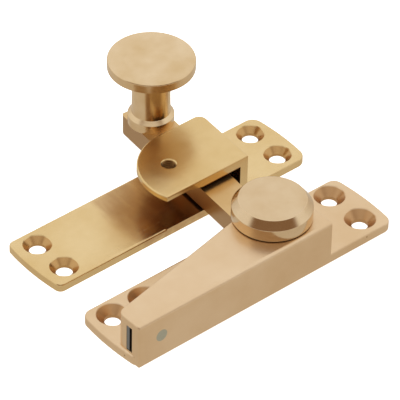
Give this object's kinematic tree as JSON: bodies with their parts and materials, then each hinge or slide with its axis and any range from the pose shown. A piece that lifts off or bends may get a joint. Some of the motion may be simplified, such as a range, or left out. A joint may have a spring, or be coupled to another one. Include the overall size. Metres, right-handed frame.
{
  "type": "sash window fastener",
  "caption": "Brass straight-arm hook-plate fastener for sash windows: a knobbed arm swings out of a tapered body and under a raised hook on a separate keep plate.",
  "frame": {"origin": "centre of the body plate's underside, on the meeting rail", "axes": "+X along the window's meeting rails, towards the end with the pivot; +Y from the body plate to the keep plate; +Z away from the rails"},
  "size_m": [0.0944, 0.0832, 0.0322],
  "materials": {
    "body_brass": "satin polished cast brass",
    "keep_brass": "satin polished cast brass",
    "arm_brass": "linished brass bar",
    "turned_brass": "turned and polished brass",
    "zinc_plated_steel": "bright zinc plate",
    "spring_steel": "rolled spring steel",
    "pin_steel": "sheared and filed steel pin"
  },
  "bodies": {
    "castings": {"body_casting": "body_brass", "keep_casting": "keep_brass", "leaf_spring": "spring_steel", "spring_pin": "pin_steel"},
    "swinging_arm": {"arm": "arm_brass", "knob": "turned_brass", "knob_screw": "zinc_plated_steel", "pivot_cap": "turned_brass", "pivot_washer": "zinc_plated_steel", "pivot_nut": "zinc_plated_steel"}
  },
  "joints": [
    {"name": "arm_swing", "type": "hinge", "parent": "castings", "child": "swinging_arm", "pos_m": [0.0118, 0.0005, 0.0075], "axis": [0, 0, 1], "range_deg": [0, 90], "deforming": ["leaf_spring"]}
  ]
}
